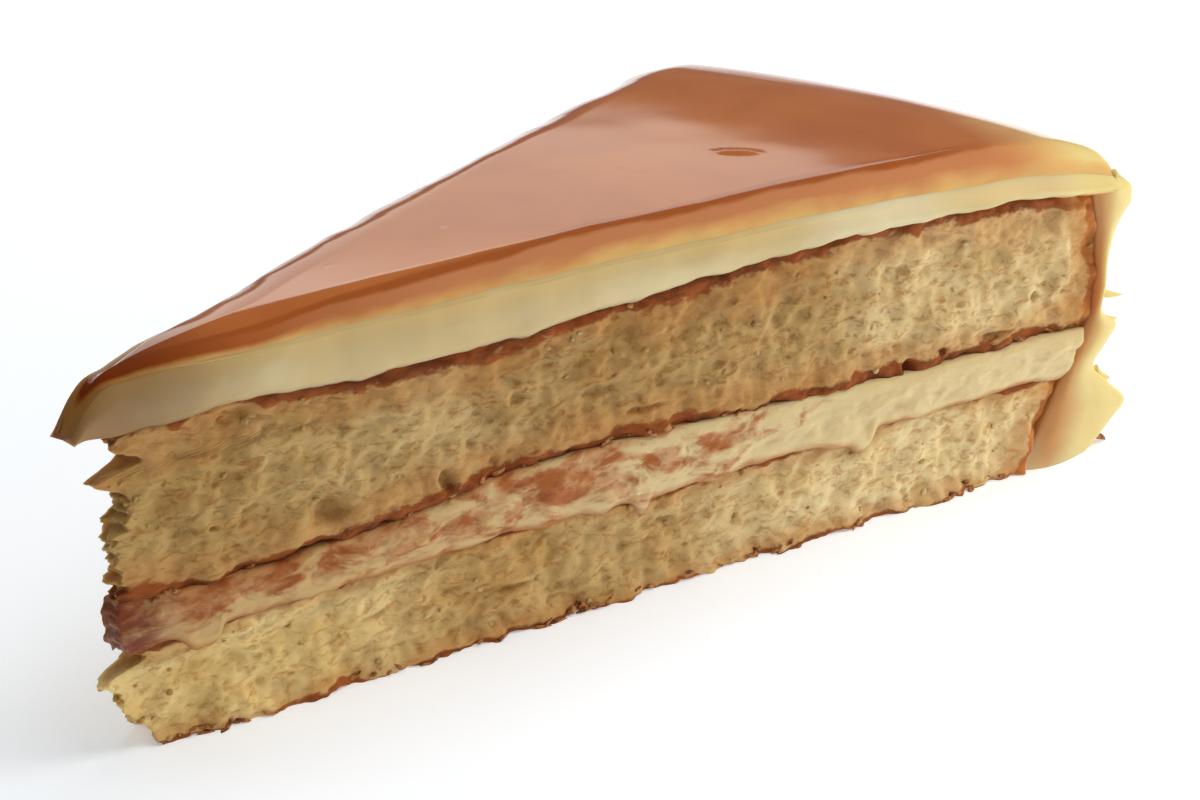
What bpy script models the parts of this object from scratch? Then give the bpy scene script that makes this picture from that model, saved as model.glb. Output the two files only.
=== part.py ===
"""A slice of two-layer honey cake: sponge, cream filling, cream icing and a honey-caramel glaze.

Metres, +Z up. The slice is a twelfth of a round cake, its point towards -X and its rim towards +X.
The origin is the middle of the bounding box at the height of the plate. Every layer is a box that is
cut into a grid and bent into the wedge, so one address (q, s, z) serves them all: q is the distance
from the cake's centre along the cut, s runs from -1 on the near cut to +1 on the far cut.
"""

import math

import bmesh
import bpy
import numpy as np
from mathutils import Vector, noise

SLICES_PER_CAKE = 12
HALF_ANGLE = math.pi / SLICES_PER_CAKE
CENTRE_X = -0.0644
GAP = 0.0003
HALF_GAP = GAP / 2.0

# Heights above the plate at distances from the cake's centre.
FILLING_FLOOR = ((0.0, 0.0108), (0.025, 0.0114), (0.045, 0.0117), (0.065, 0.0111), (0.095, 0.0113), (0.128, 0.0108))
FILLING_CEILING = (
    (0.0, 0.0168), (0.012, 0.0157), (0.030, 0.0163), (0.048, 0.0182), (0.066, 0.0180), (0.096, 0.0166), (0.128, 0.0159),
)
SPONGE_TOP = (
    (0.0, 0.0338), (0.018, 0.0340), (0.038, 0.0331), (0.052, 0.0334), (0.070, 0.0345), (0.100, 0.0348),
    (0.117, 0.0338), (0.128, 0.0322),
)
# The flat of the top near each cut. It rounds down towards the rim, sooner on the far side.
GLAZE_TOP_NEAR = (
    (-0.0015, 0.0364), (0.000, 0.0384), (0.002, 0.0400), (0.006, 0.0406), (0.022, 0.0410), (0.060, 0.0410),
    (0.075, 0.0408), (0.090, 0.0406), (0.105, 0.0400), (0.118, 0.0391), (0.123, 0.0383), (0.126, 0.0374),
    (0.129, 0.0361), (0.131, 0.0347),
)
GLAZE_TOP_FAR = (
    (-0.0015, 0.0364), (0.000, 0.0384), (0.002, 0.0400), (0.006, 0.0406), (0.022, 0.0410), (0.060, 0.0409),
    (0.075, 0.0405), (0.090, 0.0396), (0.105, 0.0387), (0.118, 0.0374), (0.123, 0.0362), (0.126, 0.0351),
    (0.129, 0.0337), (0.131, 0.0324),
)

# How far the top drops from its flat to the edge of each cut.
NEAR_DROP = (
    (0.0, 0.0003), (0.006, 0.0006), (0.014, 0.0012), (0.040, 0.0017), (0.075, 0.0019), (0.090, 0.0024),
    (0.105, 0.0032), (0.118, 0.0037), (0.126, 0.0032), (0.131, 0.0016),
)
FAR_DROP = (
    (0.0, 0.0003), (0.006, 0.0006), (0.014, 0.0011), (0.040, 0.0020), (0.056, 0.0024), (0.071, 0.0032),
    (0.090, 0.0031), (0.105, 0.0027), (0.118, 0.0023), (0.131, 0.0008),
)

PLATE = ((0.0, 0.0), (0.128, 0.0))
RIM_LAYERS_Q = 0.1250

# Radii of the cake's side at heights above the plate: the bare sponge, and the icing spread over it.
SPONGE_SIDE = ((0.0, 0.1160), (0.006, 0.1195), (0.011, 0.1220), (0.017, 0.1255), (0.026, 0.1262), (0.034, 0.1250))
ICING_SIDE = (
    (0.0, 0.1260), (0.0028, 0.1290), (0.0052, 0.1312), (0.0080, 0.1290), (0.0108, 0.1266), (0.0135, 0.1286),
    (0.0155, 0.1299), (0.0175, 0.1276), (0.0205, 0.1275), (0.0240, 0.1278), (0.0275, 0.1288), (0.0305, 0.1311),
)

# Where the crumbly point of each sponge layer ends, at shares of that layer's height.
LOWER_TIP = (
    (0.0, 0.0064), (0.19, 0.0048), (0.35, 0.0037), (0.52, 0.0023), (0.68, 0.0011), (0.79, 0.0013), (0.86, 0.0042),
    (1.0, 0.0042),
)
FILLING_TIP = ((0.0, 0.0029), (0.5, 0.0022), (1.0, 0.0025))
UPPER_TIP = (
    (0.0, 0.0028), (0.2, 0.0033), (0.38, 0.0029), (0.54, 0.0045), (0.66, 0.0038), (0.73, 0.0014), (0.81, 0.0060),
    (0.9, 0.0038), (1.0, 0.0038),
)
TIP_HALF_WIDTH = 0.0007
ICING_TIP = -0.0015
ICING_UNDERSIDE_TIP = -0.0011
LIP_STARTS_Q = 0.0036
LIP_RISE = 0.0006
GLAZE_TIP = -0.0013

GLAZE_THICKNESS = 0.0012
GLAZE_EDGE_THICKNESS = 0.0005
NEAR_SHOULDER_WIDTH = 0.0050
FAR_SHOULDER_WIDTH = 0.0070
ICING_PROUD = 0.0007
ICING_BULGE = 0.0006
FILLING_BULGE = 0.0007
RIM_SHARE = 0.80
RIM_CORNER_Q = 0.1303
GLAZE_RIM_Q = 0.1290

# Grids: cells along the cut, from cut to cut, and up through the layer.
LOWER_GRID = (54, 6, 6)
FILLING_GRID = (54, 6, 3)
UPPER_GRID = (54, 6, 8)
ICING_GRID = (60, 8, 3)
GLAZE_GRID = (48, 12, 1)

# Surface relief: how deep it is, how large its grain is, and which noise it is read from.
RELIEF_STARTS_Q = 0.0120
LOWER_SEED = 11.0
UPPER_SEED = 23.0
FILLING_SEED = 7.0
CREAM_SEED = 5.0
RIM_SEED = 3.0
WANDER_SEED = 9.0
SPONGE_RELIEF = 0.0011
SPONGE_GRAIN = 0.0042
CREAM_RELIEF = 0.0004
CREAM_GRAIN = 0.0110
FILLING_GRAIN = 0.0055
RIM_RELIEF = 0.0008
RIM_GRAIN = 0.0120
RIM_WANDER = 0.0035
RIM_HALF_LENGTH = 0.0340
ICING_SIDE_MEAN = 0.1290
RIDGE_DEPTH_INSIDE = 0.55


def curve_at(stations, x):
    """The height of a smooth curve through the stations at x, held level beyond its ends."""
    xs = [station[0] for station in stations]
    ys = [station[1] for station in stations]
    x = min(max(x, xs[0]), xs[-1])
    slopes = np.gradient(ys, xs)
    i = min(int(np.searchsorted(xs, x, side="right")) - 1, len(xs) - 2)
    span = xs[i + 1] - xs[i]
    t = (x - xs[i]) / span
    rise = (2 * t**3 - 3 * t**2 + 1) * ys[i] + (3 * t**2 - 2 * t**3) * ys[i + 1]
    lean = (t**3 - 2 * t**2 + t) * slopes[i] + (t**3 - t**2) * slopes[i + 1]
    return float(rise + span * lean)


def plan(q, s):
    """The plan position of address (q, s). The wedge's sides meet in a blunt, rounded point."""
    angle = abs(s) * HALF_ANGLE
    across = q * math.sin(angle)
    blunted = (across + math.hypot(across, 2.0 * TIP_HALF_WIDTH * s)) / 2.0
    return Vector((CENTRE_X + q * math.cos(angle), math.copysign(blunted, s), 0.0))


def cut_normal(s):
    """The direction out of the cut that s is nearer to."""
    return Vector((-math.sin(HALF_ANGLE), math.copysign(math.cos(HALF_ANGLE), s), 0.0))


def roughness(point, grain, seed):
    """A value from about -1 to 1 that varies over the given grain size."""
    return noise.fractal(point / grain + Vector((seed, 0.0, 0.0)), 1.0, 2.0, 3)


def on_cut(q, s):
    """The share of the relief at an address: all of it on a cut face, less near the point, none inside."""
    if abs(s) < 0.999:
        return 0.0
    return min(1.0, max(0.0, q) / RELIEF_STARTS_Q)


def across_slice(near, far, s):
    """The value at s between one on the near cut and one on the far cut."""
    return near + (far - near) * (s + 1.0) / 2.0


def edge_share(q, s):
    """One at a cut's edge, falling to none where the rounded shoulder ends."""
    depth = max(q, 0.0) * math.sin((1.0 - abs(s)) * HALF_ANGLE)
    return max(0.0, 1.0 - depth / across_slice(NEAR_SHOULDER_WIDTH, FAR_SHOULDER_WIDTH, s))


def glaze_top(q, s):
    """The height of the slice's top: nearly flat, rounded down at the rim and near each cut."""
    flat = across_slice(curve_at(GLAZE_TOP_NEAR, q), curve_at(GLAZE_TOP_FAR, q), s)
    drop = across_slice(curve_at(NEAR_DROP, q), curve_at(FAR_DROP, q), s)
    return flat - drop * edge_share(q, s) ** 2


def glaze_thickness(q, s):
    """Full thickness inside, thin where the knife or the rim has drawn the glaze out."""
    inside = 1.0 - edge_share(q, s)
    return GLAZE_EDGE_THICKNESS + (GLAZE_THICKNESS - GLAZE_EDGE_THICKNESS) * inside


def cream_top(q, s):
    return glaze_top(q, s) - glaze_thickness(q, s) - GAP


def bent_box(name, cuts, place, collection):
    """A box cut into a grid, each point moved to where place puts its shares along, across and up."""
    mesh_builder = bmesh.new()
    bmesh.ops.create_cube(mesh_builder, size=1.0)
    for axis, count in enumerate(cuts):
        along = [
            edge
            for edge in mesh_builder.edges
            if abs((edge.verts[0].co - edge.verts[1].co)[axis]) > 0.5
        ]
        bmesh.ops.subdivide_edges(mesh_builder, edges=along, cuts=count - 1, use_grid_fill=True)
    for vertex in mesh_builder.verts:
        u, v, w = vertex.co + Vector((0.5, 0.5, 0.5))
        vertex.co = place(u, 2.0 * v - 1.0, w)
    bmesh.ops.recalc_face_normals(mesh_builder, faces=mesh_builder.faces)
    if mesh_builder.calc_volume(signed=True) < 0.0:
        bmesh.ops.reverse_faces(mesh_builder, faces=mesh_builder.faces)
    bmesh.ops.triangulate(mesh_builder, faces=mesh_builder.faces)
    mesh = bpy.data.meshes.new(name)
    mesh_builder.to_mesh(mesh)
    mesh_builder.free()
    obj = bpy.data.objects.new(name, mesh)
    collection.objects.link(obj)
    return obj


def rim_q(floor, ceiling, w):
    """Where a layer ends at the cake's side, a gap inside the icing."""
    z = curve_at(floor, RIM_LAYERS_Q) * (1.0 - w) + curve_at(ceiling, RIM_LAYERS_Q) * w
    return curve_at(SPONGE_SIDE, z) - GAP


def sponge_place(floor, ceiling, tip, seed):
    """Places a sponge layer: crumbly cuts and point, plain where other layers cover it."""

    def place(u, s, w):
        start = curve_at(tip, w)
        q = start + (rim_q(floor, ceiling, w) - start) * u
        low = curve_at(floor, q) + (GAP if floor is not PLATE else 0.0)
        high = curve_at(ceiling, q) - GAP
        point = plan(q, s) + Vector((0.0, 0.0, low + (high - low) * w))
        crumb = roughness(point, SPONGE_GRAIN, seed)
        return point + cut_normal(s) * (SPONGE_RELIEF * crumb * on_cut(q, s))

    return place


def filling_place(u, s, w):
    """Places the cream between the layers, its cut edge bulging a little."""
    start = curve_at(FILLING_TIP, w)
    q = start + (rim_q(FILLING_FLOOR, FILLING_CEILING, w) - start) * u
    low = curve_at(FILLING_FLOOR, q) + GAP
    high = curve_at(FILLING_CEILING, q) - GAP
    point = plan(q, s) + Vector((0.0, 0.0, low + (high - low) * w))
    wave = CREAM_RELIEF * roughness(point, FILLING_GRAIN, FILLING_SEED)
    bulge = FILLING_BULGE * math.sin(math.pi * w)
    return point + cut_normal(s) * ((bulge + wave) * on_cut(q, s))


def icing_outside(u, s):
    """Distance and height of the icing's outer face: over the top, then down the side."""
    if u <= RIM_SHARE:
        q = ICING_TIP + (RIM_CORNER_Q - ICING_TIP) * u / RIM_SHARE
        return q, cream_top(q, s)
    corner = cream_top(RIM_CORNER_Q, s)
    z = corner * (1.0 - (u - RIM_SHARE) / (1.0 - RIM_SHARE))
    along = Vector((0.0, s * RIM_HALF_LENGTH, z))
    wander = RIM_WANDER * roughness(along, RIM_GRAIN, WANDER_SEED) * (1.0 - s * s)
    ridges = curve_at(ICING_SIDE, z + wander) - ICING_SIDE_MEAN
    depth = RIDGE_DEPTH_INSIDE + (1.0 - RIDGE_DEPTH_INSIDE) * s * s
    return ICING_SIDE_MEAN + ridges * depth + RIM_RELIEF * roughness(along, RIM_GRAIN, RIM_SEED), z


def icing_inside(u):
    """Distance and height of the icing's inner face, a gap away from the sponge."""
    edge = curve_at(SPONGE_SIDE, curve_at(SPONGE_TOP, RIM_LAYERS_Q)) + HALF_GAP
    if u <= RIM_SHARE:
        q = ICING_UNDERSIDE_TIP + (edge - ICING_UNDERSIDE_TIP) * u / RIM_SHARE
        rise = LIP_RISE * max(0.0, LIP_STARTS_Q - q) / (LIP_STARTS_Q - ICING_UNDERSIDE_TIP)
        return q, curve_at(SPONGE_TOP, q) + HALF_GAP + rise
    z = (curve_at(SPONGE_TOP, edge) + HALF_GAP) * (1.0 - (u - RIM_SHARE) / (1.0 - RIM_SHARE))
    return curve_at(SPONGE_SIDE, z) + HALF_GAP, z


def icing_place(u, s, w):
    """Places the icing: a thick top and a thin side, standing a little proud of the sponge's cuts."""
    inner_q, inner_z = icing_inside(u)
    outer_q, outer_z = icing_outside(u, s)
    q = inner_q + (outer_q - inner_q) * w
    z = inner_z + (outer_z - inner_z) * w
    point = plan(q, s) + Vector((0.0, 0.0, z))
    wave = CREAM_RELIEF * roughness(point, CREAM_GRAIN, CREAM_SEED)
    proud = ICING_PROUD + ICING_BULGE * math.sin(math.pi * w) + wave
    return point + cut_normal(s) * (proud * abs(s))


def glaze_place(u, s, w):
    """Places the glaze: a thin sheet over the icing, drawn out over the shoulders and the rim."""
    q = GLAZE_TIP + (GLAZE_RIM_Q - GLAZE_TIP) * u
    top = glaze_top(q, s)
    z = top - glaze_thickness(q, s) * (1.0 - w)
    wave = CREAM_RELIEF * roughness(plan(q, s), CREAM_GRAIN, CREAM_SEED)
    return plan(q, s) + Vector((0.0, 0.0, z)) + cut_normal(s) * ((ICING_PROUD + wave) * abs(s))


def finish(obj, colour, roughness_value):
    """Gives a layer its material and smooth shading."""
    material = bpy.data.materials.new(obj.name)
    material.use_nodes = True
    shader = material.node_tree.nodes["Principled BSDF"]
    shader.inputs["Base Color"].default_value = (*colour, 1.0)
    shader.inputs["Roughness"].default_value = roughness_value
    shader.inputs["Metallic"].default_value = 0.0
    obj.data.materials.append(material)
    obj.data.shade_smooth()


def main():
    for obj in list(bpy.data.objects):
        bpy.data.objects.remove(obj)
    slice_parts = bpy.data.collections.new("honey_cake_slice")
    bpy.context.scene.collection.children.link(slice_parts)

    lower_place = sponge_place(PLATE, FILLING_FLOOR, LOWER_TIP, LOWER_SEED)
    upper_place = sponge_place(FILLING_CEILING, SPONGE_TOP, UPPER_TIP, UPPER_SEED)
    lower = bent_box("lower_sponge", LOWER_GRID, lower_place, slice_parts)
    filling = bent_box("cream_filling", FILLING_GRID, filling_place, slice_parts)
    upper = bent_box("upper_sponge", UPPER_GRID, upper_place, slice_parts)
    icing = bent_box("cream_icing", ICING_GRID, icing_place, slice_parts)
    glaze = bent_box("honey_glaze", GLAZE_GRID, glaze_place, slice_parts)

    finish(lower, (0.62, 0.45, 0.19), 0.9)
    finish(filling, (0.74, 0.60, 0.33), 0.5)
    finish(upper, (0.62, 0.45, 0.19), 0.9)
    finish(icing, (0.76, 0.64, 0.33), 0.45)
    finish(glaze, (0.46, 0.15, 0.03), 0.12)


main()
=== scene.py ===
"""The looks of a slice of honey cake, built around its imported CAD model.

Metres, +Z up, in the model's own frame: the slice's point is towards -X, its rim towards +X, and it
stands on the floor at z = 0. Every layer is rebuilt as a fine closed grid from the profiles of its CAD
solid, at addresses (q, s, z): q is the distance from the cake's centre along the cut, s runs from -1 on
the near cut to +1 on the far cut. Distances in millimetres from a layer's edges are kept on the meshes,
and the materials read them to place crusts, soaked crumb and the thin edge of the glaze.
"""

import math

import bmesh
import bpy
import numpy as np
from mathutils import Euler, Matrix, Vector, noise


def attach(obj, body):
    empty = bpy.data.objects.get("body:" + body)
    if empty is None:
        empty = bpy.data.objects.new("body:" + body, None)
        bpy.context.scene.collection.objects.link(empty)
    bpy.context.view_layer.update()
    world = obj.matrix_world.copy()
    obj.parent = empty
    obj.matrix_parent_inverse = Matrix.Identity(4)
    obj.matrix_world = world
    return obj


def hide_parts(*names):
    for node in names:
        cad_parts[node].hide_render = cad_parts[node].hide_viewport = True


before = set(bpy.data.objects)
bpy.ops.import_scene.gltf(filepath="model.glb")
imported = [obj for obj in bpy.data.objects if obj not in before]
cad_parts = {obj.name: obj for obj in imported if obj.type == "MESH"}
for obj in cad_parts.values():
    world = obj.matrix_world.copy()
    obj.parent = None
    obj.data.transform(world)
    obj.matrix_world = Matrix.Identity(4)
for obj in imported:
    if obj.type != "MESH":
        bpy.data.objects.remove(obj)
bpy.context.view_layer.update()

BODY = "root"
MM = 0.001

# The slice, as in its CAD model.
HALF_ANGLE = math.radians(15.0)
CENTRE_X = -0.0644
GAP = 0.0003
HALF_GAP = GAP / 2.0
FILLING_FLOOR = (
    (0.0, 0.0108), (0.025, 0.0114), (0.045, 0.0117), (0.065, 0.0111), (0.095, 0.0113), (0.128, 0.0108),
)
FILLING_CEILING = (
    (0.0, 0.0168), (0.012, 0.0157), (0.030, 0.0163), (0.048, 0.0182), (0.066, 0.0180), (0.096, 0.0166),
    (0.128, 0.0159),
)
SPONGE_TOP = (
    (0.0, 0.0338), (0.018, 0.0340), (0.038, 0.0331), (0.052, 0.0334), (0.070, 0.0345), (0.100, 0.0348),
    (0.117, 0.0338), (0.128, 0.0322),
)
# The flat of the top near each cut, and how far it drops from there to the cut's edge.
GLAZE_TOP_NEAR = (
    (-0.0015, 0.0359), (0.000, 0.0381), (0.002, 0.0399), (0.006, 0.0406), (0.022, 0.0410), (0.060, 0.0410),
    (0.075, 0.0408), (0.090, 0.0406), (0.105, 0.0400), (0.118, 0.0391), (0.123, 0.0383), (0.126, 0.0374),
    (0.129, 0.0361), (0.131, 0.0347),
)
GLAZE_TOP_FAR = (
    (-0.0015, 0.0359), (0.000, 0.0381), (0.002, 0.0399), (0.006, 0.0406), (0.022, 0.0410), (0.060, 0.0409),
    (0.075, 0.0405), (0.090, 0.0396), (0.105, 0.0387), (0.118, 0.0374), (0.123, 0.0362), (0.126, 0.0351),
    (0.129, 0.0337), (0.131, 0.0324),
)
NEAR_DROP = (
    (0.0, 0.0003), (0.006, 0.0006), (0.014, 0.0012), (0.040, 0.0017), (0.075, 0.0019), (0.090, 0.0024),
    (0.105, 0.0032), (0.118, 0.0037), (0.126, 0.0032), (0.131, 0.0016),
)
FAR_DROP = (
    (0.0, 0.0003), (0.006, 0.0006), (0.014, 0.0011), (0.040, 0.0020), (0.056, 0.0024), (0.071, 0.0032),
    (0.090, 0.0031), (0.105, 0.0027), (0.118, 0.0023), (0.131, 0.0008),
)
PLATE = ((0.0, 0.0), (0.128, 0.0))
RIM_LAYERS_Q = 0.1250
SPONGE_SIDE = (
    (0.0, 0.1160), (0.006, 0.1195), (0.011, 0.1220), (0.017, 0.1255), (0.026, 0.1262), (0.034, 0.1250),
)
ICING_SIDE = (
    (0.0, 0.1260), (0.0028, 0.1290), (0.0052, 0.1312), (0.0080, 0.1290), (0.0108, 0.1266),
    (0.0135, 0.1286), (0.0155, 0.1299), (0.0175, 0.1276), (0.0205, 0.1275), (0.0240, 0.1278),
    (0.0275, 0.1288), (0.0305, 0.1311),
)
LOWER_TIP = (
    (0.0, 0.0064), (0.19, 0.0048), (0.35, 0.0037), (0.52, 0.0023), (0.68, 0.0011), (0.79, 0.0013),
    (0.86, 0.0042), (1.0, 0.0042),
)
FILLING_TIP = ((0.0, 0.0029), (0.5, 0.0022), (1.0, 0.0025))
UPPER_TIP = (
    (0.0, 0.0028), (0.2, 0.0033), (0.38, 0.0029), (0.54, 0.0045), (0.66, 0.0038), (0.73, 0.0014),
    (0.81, 0.0060), (0.9, 0.0038), (1.0, 0.0038),
)
TIP_HALF_WIDTH = 0.0007
ICING_TIP = -0.0015
ICING_UNDERSIDE_TIP = -0.0011
LIP_STARTS_Q = 0.0036
LIP_RISE = 0.0006
GLAZE_TIP = -0.0013
GLAZE_THICKNESS = 0.0012
GLAZE_EDGE_THICKNESS = 0.0005
NEAR_SHOULDER_WIDTH = 0.0050
FAR_SHOULDER_WIDTH = 0.0070
ICING_PROUD = 0.0007
ICING_BULGE = 0.0006
RIM_SHARE = 0.80
RIM_CORNER_Q = 0.1303
GLAZE_RIM_Q = 0.1290
RELIEF_STARTS_Q = 0.0120
LOWER_SEED = 11.0
UPPER_SEED = 23.0
FILLING_SEED = 7.0
CREAM_SEED = 5.0
RIM_SEED = 3.0
WANDER_SEED = 9.0
SPONGE_RELIEF = 0.0011
SPONGE_GRAIN = 0.0042
CREAM_RELIEF = 0.0004
CREAM_GRAIN = 0.0110
RIM_RELIEF = 0.0008
RIM_GRAIN = 0.0120
RIM_WANDER = 0.0035
RIM_HALF_LENGTH = 0.0340
ICING_SIDE_MEAN = 0.1290
RIDGE_DEPTH_INSIDE = 0.55
LEAST_RELIEF_SHARE = 0.35
ON_CUT = 0.999

# Fine grids: cells along the cut, from cut to cut, and up through the layer.
LOWER_CELLS = (500, 8, 50)
UPPER_CELLS = (520, 8, 70)
FILLING_CELLS = (480, 8, 24)
ICING_CELLS = (560, 40, 24)
GLAZE_CELLS = (300, 96, 4)

# Fine relief of the crumb.
CRUMB_DEPTH = 0.00013
CRUMB_GRAIN = 0.0014
CRUMB_STRETCH = 2.2
FINE_DEPTH = 0.00011
FINE_GRAIN = 0.0007
PORE_DEPTH = 0.00036
PORE_SPACING = 0.0021
PORE_RADIUS = 0.42
PORE_SHARE = 0.24
EDGE_GROOVE = 0.00035
EDGE_GROOVE_WIDTH = 0.0009
POINT_RAG = 0.0014
POINT_GRAIN = 0.0014
BASE_LIFT = 0.0005
BASE_LIFT_GRAIN = 0.0035
BASE_FLARE = 0.0011
BASE_FLARE_HEIGHT = 0.0022

# Relief of the filling and the icing on the cuts.
FILLING_BULGE = 0.0008
FILLING_LUMPS = 0.00065
FILLING_LUMP_GRAIN = 0.0028
FILLING_FLECKS = 0.00025
FILLING_FLECK_GRAIN = 0.0010
FILLING_RAG = 0.0005
FILLING_RAG_GRAIN = 0.0010
FILLING_HEIGHT = 0.0060
FILLING_OVERLAP = 0.0001
LUMP_EDGE = 0.04
HANG_MEAN = 0.00035
HANG_WAVE = 0.0005
HANG_GRAIN = 0.0055
HANG_LIP = 0.0005
HANG_LIP_FULL = 0.0015
HANG_LIP_HEIGHT = 0.18
HANG_LIP_HALF = 0.25
CREAM_SMALL = 0.00010
CREAM_SMALL_GRAIN = 0.0045
LIP_MEAN = 0.0003
LIP_WAVE = 0.0006
LIP_GRAIN = 0.0060
LIP_MOST = 0.001
LIP_FULL_Q = 0.010
FOOT_SHARE = 0.35
FOOT_DEPTH = 0.25

# Torn hollows in the near cut: distance, height, half width, half height and depth, in millimetres.
UPPER_HOLLOWS = (
    (26.0, 19.6, 1.9, 1.5, 1.3), (39.5, 19.3, 1.0, 1.1, 1.6), (117.4, 21.5, 0.8, 0.6, 1.2),
    (112.5, 17.9, 2.0, 0.5, 1.6), (99.5, 17.2, 1.0, 0.8, 1.5), (104.5, 17.8, 0.7, 0.5, 1.2),
    (13.0, 21.6, 0.6, 0.3, 0.9), (58.0, 24.6, 1.6, 0.8, 0.9), (64.0, 21.2, 2.6, 0.4, 0.8),
    (84.0, 27.0, 1.4, 1.0, 0.7), (98.0, 29.5, 0.9, 0.7, 0.8), (48.0, 26.5, 1.3, 0.9, 0.8),
)
LOWER_HOLLOWS = (
    (30.0, 6.6, 1.6, 0.4, 0.8), (47.0, 5.2, 2.2, 0.4, 0.8), (66.0, 7.4, 1.8, 0.4, 0.7),
    (84.0, 6.0, 1.3, 0.5, 0.7), (101.0, 5.0, 1.6, 0.4, 0.7),
)

# Marks on the glaze: place, turn, half length, half width and height, in millimetres and radians.
BLISTERS = (
    (24.5, -6.4, -0.87, 2.4, 0.8, 0.24), (-14.6, 0.6, 0.0, 0.25, 0.25, 0.10),
    (12.1, -0.4, 0.4, 0.5, 0.25, 0.08), (12.6, -3.0, -0.6, 0.6, 0.2, 0.08),
    (40.0, -12.0, 0.3, 0.4, 0.3, 0.06), (-30.0, 1.5, 0.0, 0.2, 0.2, 0.06),
)
GLAZE_RIPPLE = 0.00004
GLAZE_RIPPLE_GRAIN = 0.0160
FAR_WAVE = 0.0005
FAR_WAVE_GRAIN = 0.0100
FAR_WAVE_WIDTH = 0.0060
FAR_WAVE_FROM = 0.0700
EDGE_ROUND = 0.0007
EDGE_ROUND_WIDTH = 0.0016
GLAZE_DIP = 0.0003
TUCK_BELOW = 0.00015
TUCK_ABOVE = 0.0005
FAR_BAND_SHARE = 0.2
POINT_BAND_SHARE = 0.30
BAND_WIDENS_Q = 0.070
BROWN_RIM_SHIFT = 12.0

# Loose crumbs and chips of crust: how many, and the least and greatest radius in millimetres.
LOOSE_CRUMBS = 90
POINT_CRUMBS = 34
BASE_CHIPS = 46
LINE_CHIPS = 22
CRUMB_RADII = (0.16, 0.42)
CHIP_RADII = (0.25, 0.60)
FAR_FROM_CRUST = 50.0
# Their shapes, then where on the slice they lie, in millimetres. The flake's place is its (q, s, z).
CRUMB_TURN = 0.6
CRUMB_SWELL = 0.45
CRUMB_SWELL_GRAIN = 0.9
CRUMB_SPREAD = (0.7, 1.3)
CRUMB_SHAPE = (1.3, 0.9, 0.8)
CHIP_SHAPE = (2.0, 0.7, 0.55)
POINT_CRUMBS_END = 7.0
BASE_CHIP_HEIGHT = 0.7
BASE_CHIPS_START = 9.0
LINE_CHIP_HEIGHT = 0.5
LINE_CHIPS_START = 6.0
FLAKE = (0.1282, -0.98, 0.0011)
FLAKE_RADIUS = 1.0

# Peaks of cream at the rim's near corner, in millimetres: distance and height of the foot and of the tip,
# and the foot's radius. Their ends are the s of the foot and of the tip.
PEAKS = (
    (127.6, 19.6, 131.6, 18.5, 0.8), (128.0, 16.2, 130.9, 15.7, 0.9), (129.0, 30.6, 132.0, 30.4, 1.3),
    (127.6, 26.4, 129.0, 25.4, 0.9), (128.4, 9.0, 130.2, 8.2, 1.2), (128.2, 3.6, 130.0, 2.6, 1.0),
    (129.5, 33.0, 131.6, 32.2, 1.2),
)
PEAK_SIDES = 10
PEAK_RINGS = 9
PEAK_ENDS = (-0.96, -0.99)
PEAK_SAG = 0.3
PEAK_ROUGH = 0.25

# Drips of filling on the near cut: distance, half width and how far they hang, in millimetres.
FILLING_DRIPS = (
    (10.4, 1.3, 1.9), (12.2, 0.9, 1.2), (62.8, 1.0, 2.0), (58.0, 1.4, 0.7), (92.4, 1.4, 2.3),
    (89.5, 2.2, 1.0),
)


def curve(stations, x):
    """Heights of a smooth curve through the stations at each x, held level beyond its ends."""
    xs, ys = np.array(stations).T
    x = np.clip(x, xs[0], xs[-1])
    slopes = np.gradient(ys, xs)
    i = np.clip(np.searchsorted(xs, x, side="right") - 1, 0, len(xs) - 2)
    span = xs[i + 1] - xs[i]
    t = (x - xs[i]) / span
    rise = (2 * t**3 - 3 * t**2 + 1) * ys[i] + (3 * t**2 - 2 * t**3) * ys[i + 1]
    lean = (t**3 - 2 * t**2 + t) * slopes[i] + (t**3 - t**2) * slopes[i + 1]
    return rise + span * lean


def smooth(x):
    """A soft step from 0 to 1."""
    x = np.clip(x, 0.0, 1.0)
    return x * x * (3.0 - 2.0 * x)


def wedge(q, s, z):
    """Points at addresses (q, s, z). The wedge's sides meet in a blunt, rounded point."""
    angle = np.abs(s) * HALF_ANGLE
    across = q * np.sin(angle)
    blunted = (across + np.hypot(across, 2.0 * TIP_HALF_WIDTH * s)) / 2.0
    y = np.copysign(blunted, s)
    return np.stack([CENTRE_X + q * np.cos(angle), y, np.broadcast_to(z, y.shape)], axis=1)


def out_of_cut(s):
    """Unit directions out of the cut that each s is nearer to."""
    side = np.copysign(math.cos(HALF_ANGLE), s)
    return np.stack([np.full(len(s), -math.sin(HALF_ANGLE)), side, np.zeros(len(s))], axis=1)


def rough(points, grain, seed, octaves=3):
    """Values from about -1 to 1 that vary over the given grain size."""
    places = (points / grain + (seed, 0.0, 0.0)).tolist()
    return np.array([noise.fractal(place, 1.0, 2.0, octaves) for place in places])


def pores(points, spacing, seed):
    """Shares, 0 to 1, of how deep each point lies in one of many scattered round pores."""
    depth = np.zeros(len(points))
    for i, place in enumerate((points / spacing + (seed, 0.0, 0.0)).tolist()):
        distances, centres = noise.voronoi(place)
        if noise.cell(centres[0] * 9.7) < PORE_SHARE:
            depth[i] = 1.0 - distances[0] / PORE_RADIUS
    return smooth(depth)


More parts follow.
